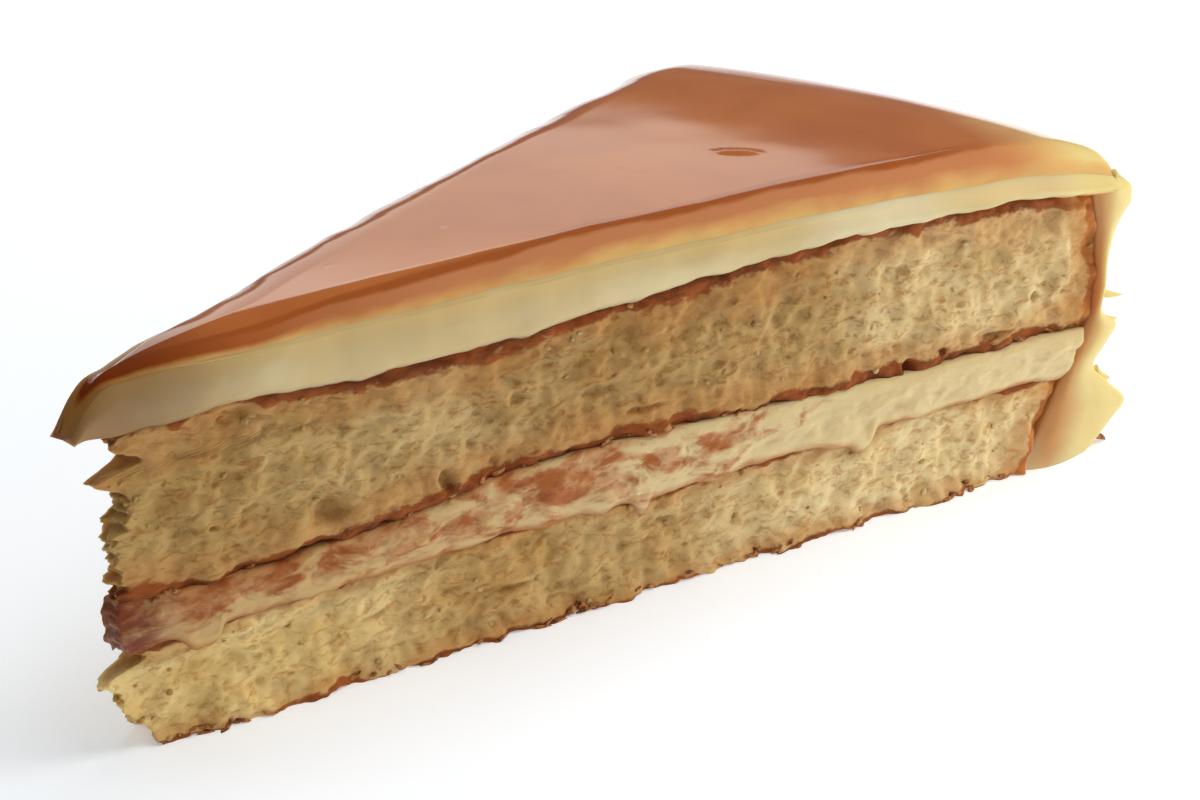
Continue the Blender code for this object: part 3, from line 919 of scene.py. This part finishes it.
def make_crust():
    """Dark red-brown baked crust, for chips."""
    material, tree, shader = new_material("baked_crust")
    flecks = grain_of(tree, place_of(tree), 0.0008, 4.0, 0.6)
    colour = blend_colour(tree, step(tree, flecks, 0.35, 0.65), CRUST_DARK, CRUST_STAIN)
    surface(tree, shader, colour, flecks, 0.0003, 0.6)
    shader.inputs["Roughness"].default_value = 0.7
    return material


# The filling: grains in metres, then the noise values, lengths and heights between which each tone comes in.
STREAK_GRAIN = 0.0034
LUMP_GRAIN = 0.0026
SOAKED_FLECK_GRAIN = 0.0012
CREAMY_TO_RIM_EDGES = (78.0, 96.0)
CREAMY_TO_RIM = 0.45
CREAMY_BELOW_EDGES = (0.60, 0.12)
CREAMY_BELOW = 0.10
CREAMY_EDGES = (0.46, 0.62)
SOAKED_PALE_EDGES = (0.38, 0.58)
SOAKED_FLECK_EDGES = (0.50, 0.36)
SEAM_EDGES = (0.34, 0.14)
SEAM_WAVE = 0.3
# Where the painted shade towards the point begins and is full.
FILLING_POINT_SHADE_EDGES = (75.0, 20.0)
# Where the point's stain and painted shade begin and are full.
POINT_STAIN_SHADE_EDGES = (10.0, 4.0)
STAIN_FLECK_EDGES = (0.90, 0.40)


def make_filling():
    """Soaked orange-brown crumb over cream, all cream towards the rim; painted shade towards the point, and
    at the point a stain that is partly painted shade.
    """
    material, tree, shader = new_material("soaked_filling")
    place = place_of(tree, (0.55, 1.0, 1.3))
    streaks = grain_of(tree, place, STREAK_GRAIN, 4.0, 0.6, 0.7)
    flecks = grain_of(tree, place, SOAKED_FLECK_GRAIN, 4.0, 0.6, 0.3)
    lumps = grain_of(tree, place_of(tree, (0.55, 1.0, 1.0), (3.0, 0.0, 0.0)), LUMP_GRAIN, 3.0, 0.6, 0.4)
    along = field(tree, "along")
    height = field(tree, "height")
    creamy = plus(tree, streaks, step(tree, along, *CREAMY_TO_RIM_EDGES), CREAMY_TO_RIM)
    creamy = plus(tree, creamy, step(tree, height, *CREAMY_BELOW_EDGES), CREAMY_BELOW)
    creamy = step(tree, creamy, *CREAMY_EDGES)
    soaked = blend_colour(tree, step(tree, lumps, *SOAKED_PALE_EDGES), SOAKED, SOAKED_PALE)
    soaked = lay(tree, soaked, CRUST_MIDDLE, step(tree, flecks, *SOAKED_FLECK_EDGES), 0.5)
    colour = lay(tree, soaked, FILLING_CREAM, creamy)
    colour = lay(tree, colour, SOAKED, step(tree, plus(tree, height, lumps, SEAM_WAVE), *SEAM_EDGES), 0.8)
    # Painted shade: the filling darkens towards the point.
    colour = lay(tree, colour, FILLING_POINT_SHADE, step(tree, along, *FILLING_POINT_SHADE_EDGES), blend_type="MULTIPLY")
    # Dark flecks at the very point: partly a syrup stain, partly painted shade.
    stain = calc(tree, "MULTIPLY", step(tree, along, *POINT_STAIN_SHADE_EDGES), step(tree, flecks, *STAIN_FLECK_EDGES))
    colour = lay(tree, colour, POINT_STAIN_AND_SHADE, stain)
    surface(tree, shader, colour, flecks, 0.0004, 0.6)
    tree.links.new(blend_number(tree, creamy, 0.7, 0.42), shader.inputs["Roughness"])
    soften(shader, 0.35, (1.0, 0.65, 0.35), 0.002)
    return material


# The cream: grains in metres, then the shares of depth and the lengths between which each tone comes in.
CREAM_CLOUD_GRAIN = 0.0080
CREAM_RAG_GRAIN = 0.0040
CREAM_RAG = 0.25
CREAM_CLOUD_EDGES = (0.35, 0.65)
CREAM_SIDE_EDGES = (118.0, 127.0)
# Depths between which the painted highlight at the icing's foot comes in.
LIP_HIGHLIGHT_EDGES = (0.14, 0.0)
TINTED_EDGES = (0.62, 1.0)
TINTED_END = (128.0, 118.0)
# Where the painted highlight begins, is full, ebbs and ends.
HIGHLIGHT_PATCH = (80.0, 90.0, 98.0, 108.0)
RUN_OVER_EDGES = (0.84, 0.98)
RUN_OVER_ACROSS = (-0.7, -0.1)
BY_CRUST_EDGES = (0.60, 0.08)
BY_CRUST_START = (116.0, 120.0)
# Where the painted shade towards the point begins and is full.
CREAM_SHADE_AT_POINT_EDGES = (26.0, 1.0)


def make_cream():
    """Smooth, faintly mottled cream, tinted beside the glaze, with a painted highlight over the crust and
    along a stretch of the slice, and painted shade at the point.
    """
    material, tree, shader = new_material("buttercream")
    place = place_of(tree, (0.5, 1.0, 1.0))
    clouds = grain_of(tree, place, CREAM_CLOUD_GRAIN, 3.0, 0.5, 0.4)
    ragged = calc(tree, "SUBTRACT", grain_of(tree, place, CREAM_RAG_GRAIN, 3.0, 0.5), 0.5)
    depth = plus(tree, field(tree, "depth"), ragged, CREAM_RAG)
    along = field(tree, "along")
    colour = blend_colour(tree, step(tree, clouds, *CREAM_CLOUD_EDGES), CREAM_DEEP, CREAM)
    colour = lay(tree, colour, CREAM_SIDE, step(tree, along, *CREAM_SIDE_EDGES))
    # Painted highlight: a paler, pinker lip where the icing meets the crust.
    colour = lay(tree, colour, CREAM_LIP_HIGHLIGHT, step(tree, depth, *LIP_HIGHLIGHT_EDGES), 0.6)
    on_top = calc(tree, "MULTIPLY", step(tree, depth, *TINTED_EDGES), step(tree, along, *TINTED_END))
    colour = lay(tree, colour, CREAM_TINTED, on_top, 0.4)
    # Painted highlight: paler cream along a stretch of the slice.
    colour = lay(tree, colour, CREAM_HIGHLIGHT, between(tree, along, HIGHLIGHT_PATCH), 0.5)
    turned_up = step(tree, field(tree, "across"), *RUN_OVER_ACROSS)
    run_over = calc(tree, "MULTIPLY", step(tree, depth, *RUN_OVER_EDGES), turned_up)
    colour = lay(tree, colour, GLAZE_DEEP, run_over)
    by_crust = calc(tree, "MULTIPLY", step(tree, depth, *BY_CRUST_EDGES), step(tree, along, *BY_CRUST_START))
    colour = lay(tree, colour, RIM_STAIN, by_crust, 0.9)
    # Painted shade: the cream darkens towards the point.
    colour = lay(tree, colour, CREAM_POINT_SHADE, step(tree, along, *CREAM_SHADE_AT_POINT_EDGES), blend_type="MULTIPLY")
    surface(tree, shader, colour, grain_of(tree, place, 0.0020, 3.0, 0.5), 0.0003, 0.3)
    tree.links.new(blend_number(tree, clouds, 0.52, 0.40), shader.inputs["Roughness"])
    soften(shader, 0.5, (1.0, 0.7, 0.4), 0.003)
    return material


# The glaze: grains in metres, then millimetres along the slice, or in from a cut or the rim.
GLAZE_CLOUD_GRAIN = 0.0150
GLAZE_RAG_GRAIN = 0.0040
INSET_RAG = 3.0
RIM_RAG = 4.0
GLAZE_CLOUD_EDGES = (0.3, 0.7)
# Where the band's painted shade towards the point fades out, then where the glaze's painted shade at the
# point begins and is full.
BAND_POINT_SHADE_EDGES = (8.0, 44.0)
GLAZE_TIP_SHADE_EDGES = (20.0, 4.0)
# Insets and lengths between which the painted shade stripe along the shoulder comes in and fades out.
CREASE_SHADE_EDGES = (7.6, 5.8)
CREASE_SHADE_END = (116.0, 104.0)
BAND_EDGES = (4.6, 3.4)
RIM_THIN_EDGES = (17.0, 7.0)
RIM_PALE_EDGES = (11.0, 2.0)
CUT_THIN_EDGES = (2.0, 0.3)
CUT_PALE_EDGES = (0.9, -0.3)
# Where the glaze's painted shade towards the point begins and is full.
GLAZE_POINT_SHADE_EDGES = (22.0, 2.0)
GLOSS_EDGES = (0.2, 1.4)


def make_glaze():
    """Glossy caramel: brown inside, a lighter band near the cut, and a thin edge that runs into the cream;
    painted shade at the point and in a stripe along the shoulder.
    """
    material, tree, shader = new_material("caramel_glaze")
    clouds = grain_of(tree, place_of(tree), GLAZE_CLOUD_GRAIN, 3.0, 0.5, 0.5)
    ragged = grain_of(tree, place_of(tree, (0.4, 1.0, 1.0)), GLAZE_RAG_GRAIN, 3.0, 0.55)
    ragged = calc(tree, "SUBTRACT", ragged, 0.5)
    along = field(tree, "along")
    inset = plus(tree, field(tree, "inset"), ragged, INSET_RAG)
    rim = plus(tree, field(tree, "inside_rim"), ragged, RIM_RAG)
    # The band darkens towards the point: painted shade.
    band = blend_colour(tree, step(tree, along, *BAND_POINT_SHADE_EDGES), GLAZE_SHADE, GLAZE_LIGHT)
    colour = blend_colour(tree, step(tree, clouds, *GLAZE_CLOUD_EDGES), GLAZE_DEEP, GLAZE_MIDDLE)
    # Painted shade: the glaze darkens towards the point.
    colour = lay(tree, colour, GLAZE_SHADE, step(tree, along, *GLAZE_TIP_SHADE_EDGES))
    # Painted shade: a dark stripe along the shoulder, in from the cut, fading out near the rim.
    crease_shade = calc(tree, "MULTIPLY", step(tree, inset, *CREASE_SHADE_EDGES), step(tree, along, *CREASE_SHADE_END))
    colour = lay(tree, colour, GLAZE_SHADE, crease_shade, 0.95)
    colour = lay(tree, colour, band, step(tree, inset, *BAND_EDGES))
    colour = lay(tree, colour, GLAZE_THIN, step(tree, rim, *RIM_THIN_EDGES))
    colour = lay(tree, colour, CREAM_SIDE, step(tree, rim, *RIM_PALE_EDGES))
    colour = lay(tree, colour, GLAZE_THIN, step(tree, inset, *CUT_THIN_EDGES))
    colour = lay(tree, colour, CREAM_TINTED, step(tree, inset, *CUT_PALE_EDGES))
    # Painted shade: the glaze darkens towards the point.
    colour = lay(tree, colour, CREAM_POINT_SHADE, step(tree, along, *GLAZE_POINT_SHADE_EDGES), blend_type="MULTIPLY")
    tree.links.new(colour, shader.inputs["Base Color"])
    gloss = step(tree, field(tree, "from_edge"), *GLOSS_EDGES)
    tree.links.new(blend_number(tree, gloss, 0.05, 0.5), shader.inputs["Specular IOR Level"])
    shader.inputs["Roughness"].default_value = 0.08
    shader.inputs["IOR"].default_value = 1.47
    soften(shader, 0.15, (1.0, 0.5, 0.2), 0.002)
    return material


# The stage: camera, floor and lights.
CAMERA_PLACE = (-0.21987, -0.20799, 0.15018)
CAMERA_YAW = math.radians(-47.65)
CAMERA_PITCH = math.radians(-23.836)
CAMERA_ROLL = math.radians(-0.950)
CAMERA_LENS = 90.0
CAMERA_SENSOR = 36.0
# The panel: its corners, in metres across and up an upright plane that faces the cake. It brightens
# between two heights.
PANEL_PLACE = (0.44, 0.44)
PANEL_SLANT = math.sqrt(0.5)
PANEL = (
    (-0.50, 0.02), (-0.31, 0.02), (0.17, 0.222), (0.17, 0.27), (0.0, 0.32), (-0.08, 0.40), (-0.50, 0.40),
)
PANEL_COLOUR = (1.0, 0.98, 0.90)
PANEL_BRIGHTNESS = 1.2
PANEL_BRIGHTEST = 2.2
PANEL_BRIGHTENS = (0.275, 0.315)
FLOOR_SIZE = 6.0
FLOOR_COLOUR = (0.86, 0.88, 0.91, 1.0)
FLOOR_COLOUR_COOL = (0.85, 0.88, 0.92, 1.0)
FLOOR_GLOW_COLOUR = (0.94, 0.98, 1.0, 1.0)
FLOOR_GLOW = 0.33
WORLD_COLOUR = (0.95, 0.97, 1.0)
WORLD_BRIGHTNESS = 0.14


def add_camera():
    """The camera that was fitted to the photograph."""
    data = bpy.data.cameras.new("camera")
    data.lens = CAMERA_LENS
    data.sensor_width = CAMERA_SENSOR
    data.clip_start = 0.01
    camera = add_object("camera", data)
    turn = Matrix.Rotation(CAMERA_YAW, 4, "Z") @ Matrix.Rotation(math.pi / 2.0 + CAMERA_PITCH, 4, "X")
    camera.matrix_world = Matrix.Translation(CAMERA_PLACE) @ turn @ Matrix.Rotation(CAMERA_ROLL, 4, "Z")
    bpy.context.scene.camera = camera


def add_softbox(name, place, target, width, height, brightness, colour=(1.0, 1.0, 1.0)):
    """A rectangular light at place, facing target, that no surface reflects. Brightness is its radiance."""
    data = bpy.data.lights.new(name, "AREA")
    data.shape = "RECTANGLE"
    data.size = width
    data.size_y = height
    data.energy = brightness * math.pi * width * height
    data.color = colour
    light = add_object(name, data)
    light.location = place
    light.rotation_euler = (Vector(target) - Vector(place)).to_track_quat("-Z", "Y").to_euler()
    light.visible_camera = False
    light.visible_glossy = False


def add_panel():
    """A white panel behind the cake, which the glaze reflects. Its lower edge rises to the right."""
    mesh = bpy.data.meshes.new("panel")
    x, y = PANEL_PLACE
    places = [(x + across * PANEL_SLANT, y - across * PANEL_SLANT, up) for across, up in PANEL]
    mesh.from_pydata(places, [], [tuple(range(len(places)))])
    panel = add_object("panel", mesh)
    panel.visible_camera = False
    material, tree, shader = new_material("bright_panel")
    shader.inputs["Base Color"].default_value = (0.0, 0.0, 0.0, 1.0)
    shader.inputs["Emission Color"].default_value = (*PANEL_COLOUR, 1.0)
    height = add_node(tree, "ShaderNodeSeparateXYZ", {"Vector": place_of(tree)}).outputs["Z"]
    brightness = blend_number(tree, step(tree, height, *PANEL_BRIGHTENS), PANEL_BRIGHTNESS, PANEL_BRIGHTEST)
    tree.links.new(brightness, shader.inputs["Emission Strength"])
    mesh.materials.append(material)


def make_floor():
    """White paper with a faint even glow, so that it stays white where only dim light falls."""
    material, tree, shader = new_material("pale_floor")
    mottle = step(tree, grain_of(tree, place_of(tree), 0.05), 0.0, 1.0)
    tree.links.new(blend_colour(tree, mottle, FLOOR_COLOUR, FLOOR_COLOUR_COOL), shader.inputs["Base Color"])
    shader.inputs["Roughness"].default_value = 0.9
    shader.inputs["Specular IOR Level"].default_value = 0.0
    shader.inputs["Emission Color"].default_value = FLOOR_GLOW_COLOUR
    shader.inputs["Emission Strength"].default_value = FLOOR_GLOW
    return material


def add_floor():
    """A wide white floor for the cake to stand on."""
    mesh = bpy.data.meshes.new("floor")
    half = FLOOR_SIZE / 2.0
    corners = [(-half, -half, 0), (half, -half, 0), (half, half, 0), (-half, half, 0)]
    mesh.from_pydata(corners, [], [(0, 1, 2, 3)])
    floor = add_object("floor", mesh)
    mesh.materials.append(make_floor())


def add_world():
    """A dim, even light from all round."""
    world = bpy.data.worlds.new("studio")
    world.use_nodes = True
    background = world.node_tree.nodes["Background"]
    background.inputs["Color"].default_value = (*WORLD_COLOUR, 1.0)
    background.inputs["Strength"].default_value = WORLD_BRIGHTNESS
    bpy.context.scene.world = world


def add_lights():
    """Soft lights: a large one above, a small one close to the rim, and two weak ones that fill the cuts."""
    middle = (0.0, 0.0, 0.02)
    add_softbox("top_softbox", (0.42, -0.12, 0.85), (0.0, 0.0, 0.0), 0.9, 0.9, 2.6)
    add_softbox("key_softbox", (0.17, -0.15, 0.12), (0.05, -0.02, 0.02), 0.14, 0.14, 3.0, (1.0, 0.98, 0.95))
    add_softbox("front_fill", (0.0, -0.70, 0.16), middle, 0.7, 0.28, 1.2)
    add_softbox("far_fill", (-0.20, 0.70, 0.35), middle, 0.6, 0.5, 0.8)


def add_stage():
    """A white floor, a dim world, a panel behind the cake and soft lights, with plain screen colours."""
    add_floor()
    add_world()
    add_panel()
    add_lights()
    bpy.context.scene.view_settings.view_transform = "Standard"


def main():
    """The stage, then each layer with its material, then the small pieces that lie on them."""
    add_camera()
    add_stage()
    lower_crumb = make_crumb(
        "lower_crumb", LOWER_CRUMB, LOWER_POINT_SHADE, LOWER_SHADED, LOWER_TOP_CRUST, LOWER_BASE_CRUST, 0.3
    )
    upper_crumb = make_crumb(
        "upper_crumb", UPPER_CRUMB, UPPER_POINT_SHADE, UPPER_SHADED, UPPER_TOP_CRUST, UPPER_BASE_CRUST, 0.6
    )
    lower = build_sponge(
        "lower_crumb", LOWER_CELLS, PLATE, FILLING_FLOOR, LOWER_TIP, LOWER_SEED, LOWER_HOLLOWS,
        lower_crumb, "lower_sponge",
    )
    upper = build_sponge(
        "upper_crumb", UPPER_CELLS, FILLING_CEILING, SPONGE_TOP, UPPER_TIP, UPPER_SEED, UPPER_HOLLOWS,
        upper_crumb, "upper_sponge",
    )
    cream = make_cream()
    build_filling(make_filling())
    build_icing(cream)
    build_glaze(make_glaze())
    add_crumbs(upper, lower, upper_crumb, make_crust())
    add_peaks(cream)


main()
